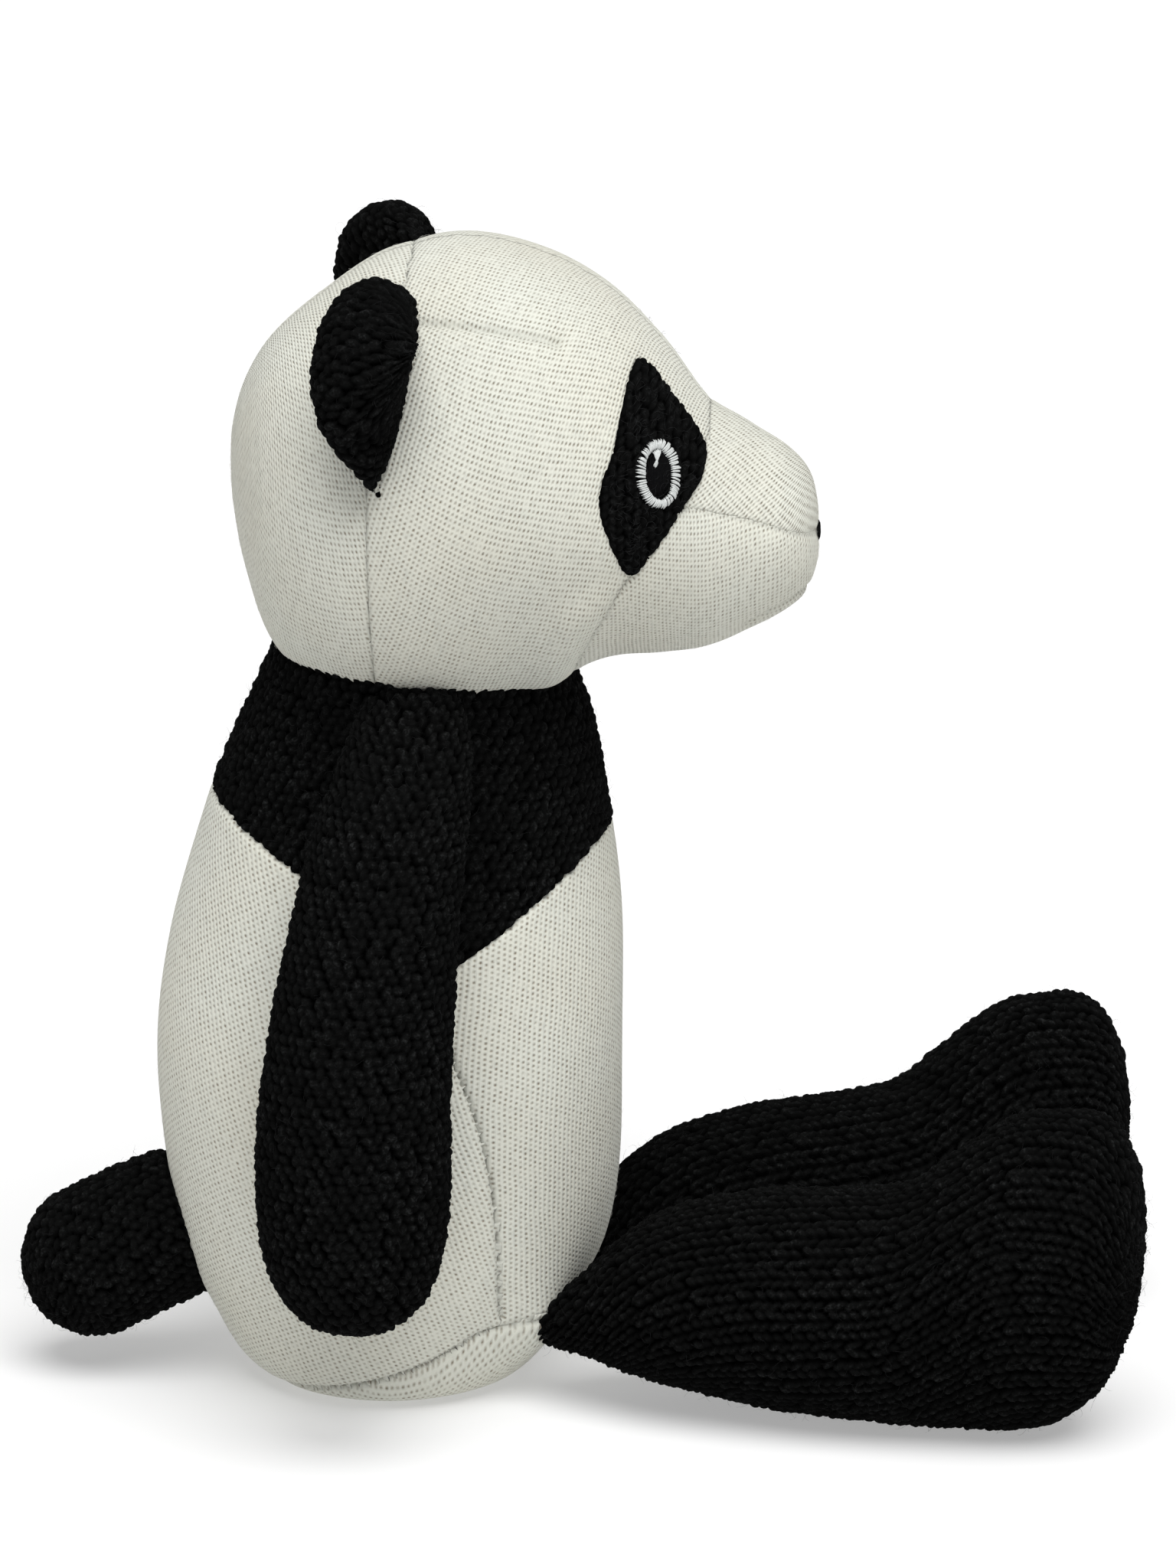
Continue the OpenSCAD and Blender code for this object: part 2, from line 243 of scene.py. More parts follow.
def fibre_material(name, colour, shade, sheen=0.4):
    """Loose fibre: soft, cloudy and slightly see-through looking."""
    p = Paint(name, colour, 0.95, sheen)
    p.colour(p.mix(p.ramp(p.noise(250.0, 4), 0.35, 0.7, 0.0, 0.7), colour, shade))
    p.bump(p.noise(300.0, 4), 0.6, 0.001)
    return p.material


# ---- Forms -------------------------------------------------------------------------------------


def through(rows, u):
    """A smooth curve through a table's rows; u counts rows from the first."""
    rows = np.asarray(rows, float)
    last = len(rows) - 1
    i = np.minimum(np.floor(u).astype(int), last - 1)
    t = (u - i)[:, None]
    a, b, c, d = (rows[np.clip(i + k, 0, last)] for k in (-1, 0, 1, 2))
    return (2 * b + (c - a) * t + (2 * a - 5 * b + 4 * c - d) * t**2 + (3 * b - a - 3 * c + d) * t**3) / 2


def turned(axis, s, p, q):
    order = {"z": (p, q, s), "y": (q, s, p), "x": (s, p, q)}[axis]
    return np.stack(np.broadcast_arrays(*order), -1)


class Form:
    """A closed skin of oval rings on a fine grid, with knit places along and round it in mm."""

    def __init__(self, rows, axis, pitch, start=0.0):
        rows = np.asarray(rows, float)
        u = np.linspace(0, len(rows) - 1, 1200)
        r = through(rows, u)
        r[:, 3:] = np.maximum(r[:, 3:], 0.05)
        step = np.linalg.norm(np.diff(r[:, [0, 1, 2]], axis=0), axis=1)
        step = np.hypot(step, np.abs(np.diff(r[:, 3:].mean(1))))
        length = np.concatenate([[0], np.cumsum(step)])
        self.along = max(int(length[-1] / pitch), 8)
        self.around = max(int(2 * math.pi * r[:, 3:].mean(1).max() / pitch), 12)
        even = np.interp(np.linspace(0, length[-1], self.along + 1), length, u)
        self.rings = through(rows, even)
        self.rings[:, 3:] = np.maximum(self.rings[:, 3:], 0.05)
        angle = start + 2 * math.pi * np.arange(self.around) / self.around
        s, cp, cq, hp, hq = (self.rings[:, k, None] for k in range(5))
        self.points = turned(axis, s, cp + hp * np.cos(angle), cq + hq * np.sin(angle))
        self.lengthwise = np.repeat(
            np.linspace(0, length[-1], self.along + 1)[:, None], self.around, 1
        )
        chord = np.linalg.norm(np.roll(self.points, -1, 1) - self.points, axis=2)
        run = np.concatenate([np.zeros((self.along + 1, 1)), np.cumsum(chord, 1)], 1)
        whole = run[:, -1:]
        run = run[:, :-1]
        self.roundwise = np.where(run > whole / 2, run - whole, run)
        self.measure_normals()

    def measure_normals(self):
        p = self.points
        along = np.gradient(p, axis=0)
        round_ = np.roll(p, -1, 1) - np.roll(p, 1, 1)
        n = np.cross(round_, along)
        size = np.linalg.norm(n, axis=2, keepdims=True)
        self.normals = n / np.maximum(size, 1e-9)

    def push(self, height):
        self.points = self.points + self.normals * height[..., None]

    def centres(self):
        p = self.points
        ring = (p + np.roll(p, -1, 1)) / 2
        return ((ring[1:] + ring[:-1]) / 2).reshape(-1, 3)

    def faces(self):
        i, j = np.meshgrid(np.arange(self.along), np.arange(self.around), indexing="ij")
        k = (j + 1) % self.around
        a = i * self.around
        b = a + self.around
        return np.stack([a + j, a + k, b + k, b + j], -1).reshape(-1, 4)


def dice(row, col, seed):
    """A repeatable random number for each stitch, 0 to 1."""
    value = np.sin(row * 127.1 + col * 311.7 + seed * 17.3) * 43758.5453
    return value - np.floor(value)


def beads(s, t, tall, wide, seed, slant=0.4, fat=0.62, jitter=0.16):
    """The rounded heads of knit stitches in staggered columns, 0 to 1."""
    best = np.zeros(s.shape)
    for col_step in (-1, 0, 1):
        col = np.floor(t / wide) + col_step
        odd = col % 2
        for row_step in (-1, 0, 1):
            row = np.floor(s / tall - odd / 2) + row_step
            one, two = dice(row, col, seed), dice(row + 57, col + 13, seed)
            down = s / tall - odd / 2 - row - 0.5 + (one - 0.5) * 2 * jitter
            over = t / wide - col - 0.5 + (two - 0.5) * 2 * jitter
            far = ((down + slant * (2 * odd - 1) * over) / fat) ** 2 + (over / fat) ** 2
            best = np.maximum(best, np.sqrt(np.clip(1 - far, 0, 1)) * (0.7 + 0.3 * one))
    return best


def moss(s, t, seed, turn=30):
    """Heads of stitches in rows that climb across the fabric."""
    c, k = math.cos(math.radians(turn)), math.sin(math.radians(turn))
    return beads(c * s + k * t, c * t - k * s, STITCH, STITCH, seed)


def ridged(s, t, seed):
    """Heads of stitches paired into lengthwise ridges, with a shallow valley between them."""
    place = t / (2 * STITCH) + 0.05 * np.sin(s / 9.0 + t / 6.0)
    share = place - np.floor(place)
    valley = 1 - 0.4 * np.exp(-((np.minimum(share, 1 - share) / 0.13) ** 2))
    return beads(s, place * 2 * STITCH, STITCH, STITCH, seed, 0.6, 0.6, 0.16) * valley


def lumps(points, size, seed):
    """Slow unevenness of a stuffed form, about -1 to 1."""
    rng = np.random.default_rng(seed)
    total = np.zeros(points.shape[:-1])
    for _ in range(7):
        way = rng.normal(size=3)
        way /= np.linalg.norm(way) * size * rng.uniform(0.7, 1.5)
        total += np.sin(points @ way * 2 * math.pi + rng.uniform(0, 6.3))
    return total / 4


def nearest(y, z, line):
    """Distance in a side view to a seam given by its corners, and the nearest place on it."""
    best, at_y, at_z = np.full(y.shape, 1e9), np.array(y), np.array(z)
    for (y0, z0), (y1, z1) in zip(line, line[1:]):
        dy, dz = y1 - y0, z1 - z0
        k = np.clip(((y - y0) * dy + (z - z0) * dz) / (dy * dy + dz * dz), 0, 1)
        far = np.hypot(y - y0 - k * dy, z - z0 - k * dz)
        closer = far < best
        best = np.where(closer, far, best)
        at_y, at_z = np.where(closer, y0 + k * dy, at_y), np.where(closer, z0 + k * dz, at_z)
    return best, at_y, at_z


def line_distance(y, z, line):
    return nearest(y, z, line)[0]


def snap(form, seams, reach):
    """Moves the grid's points that are close to a seam onto it, so that it runs clean."""
    for line in seams:
        y, z = form.points[..., 1], form.points[..., 2]
        far, at_y, at_z = nearest(y, z, line)
        close = (far < reach) & (np.abs(form.normals[..., 0]) > 0.45)
        form.points[..., 1] = np.where(close, at_y, y)
        form.points[..., 2] = np.where(close, at_z, z)


def inside(y, z, outline):
    found = np.zeros(y.shape, bool)
    for (y0, z0), (y1, z1) in zip(outline, outline[1:] + outline[:1]):
        cut = ((z0 > z) != (z1 > z)) & (y < (y1 - y0) * (z - z0) / ((z1 - z0) or 1e-9) + y0)
        found ^= cut
    return found


def edge_depth(y, z, outline):
    """How far inside an outline a place is, negative outside."""
    d = line_distance(y, z, outline + outline[:1])
    return np.where(inside(y, z, outline), d, -d)


def smooth(x, low, high):
    k = np.clip((x - low) / (high - low), 0, 1)
    return k * k * (3 - 2 * k)


def smooth_line(line, rounds=3):
    """Corners cut until the line is a soft curve."""
    line = np.asarray(line, float)
    for _ in range(rounds):
        a, b = line[:-1], line[1:]
        cut = np.stack([0.75 * a + 0.25 * b, 0.25 * a + 0.75 * b], 1).reshape(-1, 2)
        line = np.concatenate([line[:1], cut, line[-1:]])
    return [tuple(p) for p in line]


def smooth_loop(line, rounds=2):
    """The same for an outline that closes on itself."""
    line = np.asarray(line, float)
    for _ in range(rounds):
        after = np.roll(line, -1, 0)
        line = np.stack([0.75 * line + 0.25 * after, 0.25 * line + 0.75 * after], 1).reshape(-1, 2)
    return [tuple(p) for p in line]


# ---- Pieces ------------------------------------------------------------------------------------


def new_object(name, points, faces, material, **layers):
    """A smooth shaded mesh, from mm; each layer is a pair of numbers per point."""
    mesh = bpy.data.meshes.new(name)
    mesh.from_pydata((np.asarray(points) * MM).tolist(), [], faces)
    mesh.materials.append(material)
    mesh.shade_smooth()
    corner = np.zeros(len(mesh.loops), np.int32)
    mesh.loops.foreach_get("vertex_index", corner)
    for layer_name, values in layers.items():
        layer = mesh.uv_layers.new(name=layer_name)
        layer.data.foreach_set("uv", np.asarray(values)[corner].astype(np.float32).ravel())
    obj = bpy.data.objects.new(name, mesh)
    bpy.context.scene.collection.objects.link(obj)
    return obj


def add_panel(name, points, faces, material, thickness, **layers):
    """A panel cut out of a larger grid, with its fabric's thickness on the inside."""
    used = np.unique(faces)
    index = np.full(len(points), -1)
    index[used] = np.arange(len(used))
    kept = {k: np.asarray(v)[used] for k, v in layers.items()}
    obj = new_object(name, points[used], index[faces].tolist(), material, **kept)
    mod = obj.modifiers.new("thickness", "SOLIDIFY")
    mod.thickness, mod.offset = thickness * MM, -1
    bpy.context.view_layer.objects.active = obj
    with bpy.context.temp_override(object=obj, active_object=obj):
        bpy.ops.object.modifier_apply(modifier=mod.name)
    return obj


def close_ends(form):
    """Faces that close a form's two end rings."""
    n, top = form.around, form.along * form.around
    low = [[0, (k + 1) % n, k] for k in range(1, n - 1)]
    high = [[top, top + k, top + (k + 1) % n] for k in range(1, n - 1)]
    return low + high


def form_piece(name, form, material, relief):
    """A closed stuffed form; relief, 0 to 1, says how high in its stitch each point is."""
    pair = np.stack([relief, form.lengthwise / STITCH], -1).reshape(-1, 2)
    faces = form.faces().tolist() + close_ends(form)
    return new_object(name, form.points.reshape(-1, 3), faces, material, knit=pair)


def tubes(name, paths, radius, material, sides=5):
    """Closed round strands, one for each path of points in mm."""
    verts, faces = [], []
    for path in paths:
        path = np.asarray(path, float)
        count = len(path)
        way = np.gradient(path, axis=0)
        way /= np.maximum(np.linalg.norm(way, axis=1, keepdims=True), 1e-9)
        guide = np.array([0.31, 0.52, 0.79])
        one = np.cross(way, guide)
        one /= np.maximum(np.linalg.norm(one, axis=1, keepdims=True), 1e-9)
        two = np.cross(way, one)
        taper = np.sqrt(np.clip(1 - np.linspace(-1, 1, count) ** 8, 0.08, 1))
        base = len(verts)
        for p, a, b, k in zip(path, one, two, taper):
            for i in range(sides):
                t = 2 * math.pi * i / sides
                verts.append(p + radius * k * (math.cos(t) * a + math.sin(t) * b))
        for r in range(count - 1):
            for i in range(sides):
                j = (i + 1) % sides
                a, b = base + r * sides, base + (r + 1) * sides
                faces.append((a + i, a + j, b + j, b + i))
        faces.append(tuple(base + i for i in range(sides - 1, -1, -1)))
        faces.append(tuple(base + (count - 1) * sides + i for i in range(sides)))
    return new_object(name, verts, faces, material)


def fuzz(name, form, keep, count, reach, material, seed, thin=0.035, lift=0.5):
    """Stray fibres that curl over a form's surface, as fine three sided strands."""
    rng = np.random.default_rng(seed)
    spots = np.argwhere(keep)
    pick = spots[rng.integers(0, len(spots), count)]
    p = form.points[pick[:, 0], pick[:, 1]]
    n = form.normals[pick[:, 0], pick[:, 1]]
    way = rng.normal(size=(count, 3))
    way -= n * (way * n).sum(1, keepdims=True)
    way /= np.linalg.norm(way, axis=1, keepdims=True)
    bend = np.cross(n, way)
    size = reach * rng.uniform(0.35, 1.0, count) ** 1.3
    curl = rng.uniform(-1.1, 1.1, count)
    high = lift * rng.uniform(0.3, 1.6, count)
    knots = 5
    ring = []
    for k in range(knots):
        t = k / (knots - 1)
        centre = (
            p
            + way * (size * t)[:, None]
            + bend * (curl * size * 0.55 * math.sin(t * 2.6))[:, None]
            + n * (high * math.sin(t * math.pi * 0.8) - 0.15 * (1 - t))[:, None]
        )
        fat = thin * (1 - 0.6 * t)
        for a in (0, 2.094, 4.189):
            ring.append(centre + fat * (math.cos(a) * n + math.sin(a) * bend))
    verts = np.stack(ring, 1)
    faces = []
    per = knots * 3
    for k in range(knots - 1):
        for i in range(3):
            j = (i + 1) % 3
            faces.append((k * 3 + i, k * 3 + j, k * 3 + 3 + j, k * 3 + 3 + i))
    quads = np.array(faces)[None] + (np.arange(count) * per)[:, None, None]
    ends = np.array([(2, 1, 0), (per - 3, per - 2, per - 1)])[None]
    ends = ends + (np.arange(count) * per)[:, None, None]
    verts[..., 2] = np.maximum(verts[..., 2], 0.1)
    every = quads.reshape(-1, 4).tolist() + ends.reshape(-1, 3).tolist()
    return new_object(name, verts.reshape(-1, 3), every, material)


# ---- Sizes, in mm, as the frame has them, give or take a few for the soft skin -------------------

NECK_Z = 192
TORSO_DEPTH, TORSO_WIDTH, TORSO_BACK = 123, 111, 48
HEAD_HEIGHT, HEAD_WIDTH, MUZZLE_REACH, HEAD_BACK = 113.5, 121, 64, 88
ARM_THICK, HAND_Z = 48, 35.5
LEG_LENGTH, FOOT_HEIGHT, SPLAY = 154, 88, math.radians(12)
HIP = np.array([27, 6, 0])
TAIL_ROOT, TAIL_DROP, TAIL_LENGTH, TAIL_DIA = np.array([0, 101, 42]), math.radians(27), 48, 39
EAR_ROOT, EAR_LEAN, EAR_TIP = np.array([50, 46.5, 275.5]), math.radians(36), math.radians(-13)
EAR_LENGTH, EAR_HEIGHT, EAR_DEPTH = 52.5, 27.5, 25
EYE, EYE_HEIGHT, EYE_WIDTH, SATIN = (-22, 252.4), 16.8, 10.8, 2.3
EYE_TILT = math.radians(-11)
NOSE_TOP = 230.5
JERSEY_THICK = 1.2
COVER_THICK = 3.4  # from a limb's skin to its filling
CORE_PITCH = 2.5  # grid of a limb's filling
CORE_LENGTH = 0.95  # of its cover's
KNIT_PITCH = 0.62  # grid of the chunky knit
JERSEY_PITCH = 0.95  # grid of the jersey
WALE, COURSE = 1.28, 1.43  # jersey stitch, across and along
STITCH = 2.8  # chunky stitch
RELIEF = 2.2  # height of its heads

TORSO_ROWS = [
    (r[0] * NECK_Z, 0, TORSO_BACK + r[3], r[1] * TORSO_WIDTH / 2, r[2] * TORSO_DEPTH / 2)
    for r in (
        (0.000, 0.05, 0.05, 1.0), (0.0015, 0.38, 0.30, 1.0), (0.004, 0.55, 0.44, 1.0),
        (0.02, 0.70, 0.60, 0.5), (0.09, 0.82, 0.755, 0.0), (0.21, 0.93, 0.92, -0.5),
        (0.43, 1.0, 1.0, 0.3), (0.625, 0.965, 0.965, -2.0), (0.81, 0.84, 0.85, -5.0),
        (0.94, 0.72, 0.72, -7.5), (1.02, 0.74, 0.62, -8.0), (1.08, 0.66, 0.56, -8.5),
        (1.13, 0.40, 0.40, -8.5), (1.14, 0.05, 0.05, -8.5),
    )
]
HEAD_ROWS = [
    (
        r[0] * (HEAD_BACK + MUZZLE_REACH) - MUZZLE_REACH,
        NECK_Z + (r[1] + r[2]) / 2 * HEAD_HEIGHT, 0,
        (r[1] - r[2]) / 2 * HEAD_HEIGHT, r[3] * HEAD_WIDTH / 2,
    )
    for r in (
        (0.000, 0.315, 0.305, 0.01), (0.002, 0.37, 0.25, 0.10), (0.018, 0.45, 0.18, 0.27),
        (0.055, 0.505, 0.135, 0.40), (0.12, 0.56, 0.09, 0.50), (0.195, 0.63, 0.055, 0.64),
        (0.27, 0.765, 0.045, 0.79), (0.36, 0.885, 0.035, 0.92), (0.47, 0.965, -0.03, 0.99),
        (0.60, 1.0, -0.11, 1.0), (0.73, 0.965, -0.12, 0.96), (0.85, 0.865, -0.04, 0.84),
        (0.93, 0.77, 0.06, 0.66), (0.975, 0.67, 0.23, 0.42), (0.998, 0.56, 0.38, 0.16),
        (1.0, 0.48, 0.46, 0.01),
    )
]
ARM_ROWS = [
    (HAND_Z + r[0] * (191 - HAND_Z), r[1], r[2], r[3], r[4] * ARM_THICK / 2)
    for r in (
        (-0.002, 78.0, 54.0, 0.3, 0.02), (0.000, 78.0, 54.0, 5.0, 0.20),
        (0.025, 78.5, 54.2, 12.5, 0.58), (0.09, 78.8, 54.6, 18.0, 0.86),
        (0.21, 79.3, 55.0, 21.0, 1.00), (0.43, 77.8, 53.5, 20.5, 1.00),
        (0.62, 72.0, 50.0, 19.0, 0.91), (0.75, 65.5, 47.0, 17.5, 0.83),
        (0.87, 56.0, 43.0, 15.5, 0.74), (0.96, 47.0, 40.5, 12.0, 0.60),
        (1.02, 39.0, 39.5, 7.0, 0.40), (1.04, 36.0, 39.5, 0.4, 0.02),
    )
]
LEG_ROWS = [
    (
        r[0] * LEG_LENGTH, (r[1] + r[2]) / 2 * FOOT_HEIGHT, 0,
        (r[1] - r[2]) / 2 * FOOT_HEIGHT, r[3] * FOOT_HEIGHT,
    )
    for r in (
        (-1.016, 0.595, 0.585, 0.01), (-1.015, 0.70, 0.48, 0.09), (-0.998, 0.86, 0.33, 0.19),
        (-0.955, 0.97, 0.16, 0.255), (-0.88, 0.99, 0.055, 0.295), (-0.80, 0.965, 0.02, 0.315),
        (-0.71, 0.85, 0.02, 0.32), (-0.62, 0.735, 0.02, 0.325), (-0.49, 0.70, 0.025, 0.32),
        (-0.37, 0.68, 0.045, 0.305), (-0.24, 0.63, 0.075, 0.27), (-0.15, 0.54, 0.115, 0.22),
        (-0.08, 0.42, 0.15, 0.155), (-0.02, 0.33, 0.165, 0.095), (0.035, 0.26, 0.19, 0.04),
        (0.038, 0.23, 0.22, 0.01),
    )
]
EAR_ROWS = [
    (
        r[0] * EAR_HEIGHT, (r[1] - 0.45) * EAR_DEPTH / 2, 0,
        r[1] * EAR_DEPTH / 2, math.sqrt(max(1 - r[0] ** 2, 0.0001)) * EAR_LENGTH / 2,
    )
    for r in (
        (-0.36, 0.01), (-0.35, 0.25), (0.0, 0.38), (0.18, 0.62), (0.40, 0.94), (0.62, 1.0),
        (0.80, 0.88), (0.92, 0.66), (0.985, 0.40), (1.0, 0.02),
    )
]

# Seams in a side view, as (y, z)
YOKE_LINE = [(112, 168), (93, 158.5), (70, 146), (52, 131), (36, 119), (20, 129), (-8, 149), (-24, 158)]
YOKE_OUTLINE = YOKE_LINE + [(-40, 260), (130, 260)]
SIDE_SEAM = [(35, 122), (32, 104), (24, 84), (20, 66), (18, 45), (18, 26)]
GUSSET_SEAM = [(88, -1), (70, 3.5), (52, 8), (34, 15), (20, 24.5), (-20, 26)]
CORONAL_SEAM = [(39, 312), (41, 303), (50, 268), (52, 240), (49, 176)]
DART = [(41, 290.3), (22, 289.3), (2.5, 285.8)]
PATCH = [(-15.5, 278.5), (-18.5, 279), (-22.4, 275), (-28.4, 266), (-35, 257), (-34.6, 249.5),
         (-29.6, 244), (-22, 233), (-17, 227), (-14.5, 227), (-11, 234), (-7.2, 246), (-8.5, 253),
         (-11.2, 258), (-13, 268)]
BRIDGE_SEAM = [(-37, 272), (-36, 262), (-35.2, 255), (-29, 243)]
MUZZLE_SEAM = [(-29, 243), (-40, 239), (-52, 234.5), (-66, 228)]
CHIN_SEAM = [(-29, 243), (-15, 226.5), (-8, 214), (-2.5, 203), (4, 176)]
CHEEK_SEAM = CHIN_SEAM[1:]
CHIN_DART = [(-45, 206), (-62, 214)]
PATCH_EDGE = smooth_loop(PATCH)


# ---- Black knit pieces ---------------------------------------------------------------------------


def press(form, relief, depth, seed):
    """Raises the stitches of a form by their relief, 0 to 1, over a slightly uneven stuffing."""
    form.relief = relief
    form.push(depth * (relief - 0.55) + lumps(form.points, 38, seed) * 0.6)
    form.measure_normals()


def limb(name, form, side, materials, count, seed):
    """Mirrors a form to its side and makes its knit piece and its stray fibres."""
    form.points[..., 0] *= side
    if side < 0:
        form.points = form.points[:, ::-1]
        form.relief = form.relief[:, ::-1]
        form.lengthwise = form.lengthwise[:, ::-1]
    form.points[..., 2] = np.maximum(form.points[..., 2], 0.15)
    form.measure_normals()
    knit = form_piece(name, form, materials["yarn"], form.relief)
    hairs = fuzz(name + "_fuzz", form, form.relief > 0.3, count, 4.5, materials["strand"], seed, 0.03)
    return knit, hairs


def stuff(word, rows, axis, place, side, material):
    """A limb's filling, a little inside its cover."""
    middle = (rows[0][0] + rows[-1][0]) / 2
    thinner = [
        (middle + (s - middle) * CORE_LENGTH, p, q, *(max(h - COVER_THICK, 0.05) for h in halves))
        for s, p, q, *halves in rows
    ]
    form = Form(thinner, axis, CORE_PITCH)
    form.points = place(form.points)
    form.points[..., 0] *= side
    if side < 0:
        form.points = form.points[:, ::-1]
    piece = form_piece(word + "_stuffing", form, material, np.zeros(form.points.shape[:2]))
    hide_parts(word.replace("_", "_filling_") if "_" in word else word + "_filling")
    return piece


def hang(pieces, nodes):
    """Bakes a limb's pieces in place and hides the frame's parts that they replace."""
    for piece in pieces:
        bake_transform(piece)
        "fibre_filling" if "stuffing" in piece.name else "black_knit"
    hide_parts(*nodes)


def make_arm(word, side, materials):
    form = Form(ARM_ROWS, "z", KNIT_PITCH)
    press(form, moss(form.lengthwise, form.roundwise, 3), RELIEF, 3)
    pieces = limb("arm_" + word, form, side, materials, 1300, 11 + side)
    pieces += (stuff("arm_" + word, ARM_ROWS, "z", np.array, side, materials["stuffing"]),)
    hang(pieces, ["arm_cover_" + word])


def make_leg(word, side, materials):
    form = Form(LEG_ROWS, "y", KNIT_PITCH)
    press(form, ridged(form.lengthwise, form.roundwise + STITCH, 5), RELIEF, 5)
    c, s = math.cos(SPLAY), math.sin(SPLAY)

    def place(points):
        return points @ np.array([[c, s, 0], [-s, c, 0], [0, 0, 1]]) + HIP

    form.points = place(form.points)
    pieces = limb("leg_" + word, form, side, materials, 2000, 21 + side)
    pieces += (stuff("leg_" + word, LEG_ROWS, "y", place, side, materials["stuffing"]),)
    hang(pieces, ["leg_cover_" + word])


def make_tail(materials):
    radius = TAIL_DIA / 2
    straight = TAIL_LENGTH - radius
    rows = [(-12, 0, 0, 0.4, 0.4), (-11, 0, 0, 9, 9), (-4, 0, 0, 16, 16), (6, 0, 0, radius, radius)]
    rows += [(straight, 0, 0, radius, radius)]
    for angle in np.linspace(0.25, math.pi / 2 - 0.01, 6):
        rows.append((straight + radius * math.sin(angle), 0, 0) + (radius * math.cos(angle),) * 2)
    form = Form(rows, "y", KNIT_PITCH)
    press(form, moss(form.lengthwise, form.roundwise, 8, -20), RELIEF, 8)
    c, s = math.cos(-TAIL_DROP), math.sin(-TAIL_DROP)

    def place(points):
        return points @ np.array([[1, 0, 0], [0, c, s], [0, -s, c]]) + TAIL_ROOT

    form.points = place(form.points)
    pieces = limb("tail", form, 1, materials, 600, 31)
    pieces += (stuff("tail", rows, "y", place, 1, materials["stuffing"]),)
    hang(pieces, ["tail_cover"])


def make_ear(word, side, materials):
    form = Form(EAR_ROWS, "x", KNIT_PITCH)
    cup = np.clip(1 - (form.points[..., 2] / 20) ** 2, 0, 1) * np.clip(-form.normals[..., 1], 0, 1)
    form.points[..., 1] += 1.5 * cup * smooth(form.points[..., 0], 0, 14)
    form.measure_normals()
    relief = moss(form.lengthwise, form.roundwise, 13)
    press(form, relief, RELIEF, 13)
    c, s = math.cos(EAR_LEAN), math.sin(EAR_LEAN)
    lean = np.array([[c, 0, s], [0, 1, 0], [-s, 0, c]])
    c, s = math.cos(EAR_TIP), math.sin(EAR_TIP)
    tip = np.array([[1, 0, 0], [0, c, -s], [0, s, c]])
    form.points = form.points @ lean @ tip + EAR_ROOT
    pieces = limb("ear_" + word, form, side, materials, 420, 41 + side)
    hang(pieces, ["ear_front_" + word, "ear_back_" + word])


# ---- Torso ---------------------------------------------------------------------------------------


def seam_pull(points, seams, depth=0.9, width=1.0, pillow=0.7, spread=6.0):
    """How far the fabric is pulled in along its seams, and how close each point is to one."""
    y, z = points[..., 1], points[..., 2]
    dip, close = np.zeros(y.shape), np.zeros(y.shape)
    for line in seams:
        far = line_distance(y, z, line)
        tight = np.exp(-((far / width) ** 2))
        dip = np.maximum(dip, depth * tight + pillow * np.exp(-((far / spread) ** 2)))
        close = np.maximum(close, tight)
    return dip, close


def panels(form, regions, close, material, body):
    """Cuts a jersey form into its panels. regions: name, wanted faces, knit places, CAD node."""
    flat, faces = form.points.reshape(-1, 3), form.faces()
    # the seam layer holds each point's closeness to a seam, which the jersey uses for painted shade
    seam = np.stack([close, close], -1).reshape(-1, 2)
    for name, wanted, across, along, node in regions:
        knit = np.stack([across / WALE, along / COURSE], -1).reshape(-1, 2)
        piece = add_panel(name, flat, faces[wanted], material, JERSEY_THICK, knit=knit, seam=seam)
        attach(piece, body)
        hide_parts(node)


def level(y, line):
    """Height of a seam that runs front to back."""
    places = sorted(line)
    return np.interp(y, [p[0] for p in places], [p[1] for p in places])


def reach(z, line):
    """How far back a seam that runs up and down is."""
    places = sorted(line, key=lambda p: p[1])
    return np.interp(z, [p[1] for p in places], [p[0] for p in places])


def make_torso(materials):
    form = Form(TORSO_ROWS, "z", JERSEY_PITCH, start=math.pi)
    side_seam, gusset_seam = smooth_line(SIDE_SEAM), smooth_line(GUSSET_SEAM)
    snap(form, [side_seam, gusset_seam], 0.7)
    form.measure_normals()
    x, y, z = np.moveaxis(form.points, -1, 0)
    yoke_in = edge_depth(y, z, YOKE_OUTLINE)
    dip, close = seam_pull(form.points, [side_seam, gusset_seam], 0.7, 0.9, 0.6)
    dip = dip * smooth(z, 0.5, 3)
    near_leg = np.hypot(np.hypot(np.abs(x) - 27, y - 11), z - 22)
    bulge = 4.5 * np.exp(-((near_leg / 11) ** 2))
    uneven = lumps(form.points, 60, 2) * 0.7 * smooth(z, 2, 20)
    form.push(uneven + bulge - dip - 2.2 * smooth(yoke_in, -0.8, 1.6))
    form.points[..., 2] = np.maximum(form.points[..., 2], 0.0)
    form.measure_normals()
    _, mid_y, mid_z = form.centres().T
    gusset = mid_z < level(mid_y, gusset_seam)
    belly = (mid_y < reach(mid_z, side_seam)) & ~gusset
    shown = edge_depth(mid_y, mid_z, YOKE_OUTLINE) < 3.5
    around, up = form.roundwise * 0.8, form.lengthwise
    slanted = around + 0.28 * (up - 90)
    panels(form, [
        ("belly_jersey", belly & shown, around, up, "belly_panel"),
        ("back_jersey", ~belly & ~gusset & shown, slanted, up, "back_panel"),
        ("seat_jersey", gusset, form.points[..., 0], form.points[..., 1], "seat_gusset"),
    ], close, materials["cream"], "torso")
    keep = (yoke_in < -1) & (z > 4)
    hairs = fuzz("torso_fuzz", form, keep, 1500, 3.0, materials["pale_strand"], 51, 0.03, 0.35)
    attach(hairs, "torso")


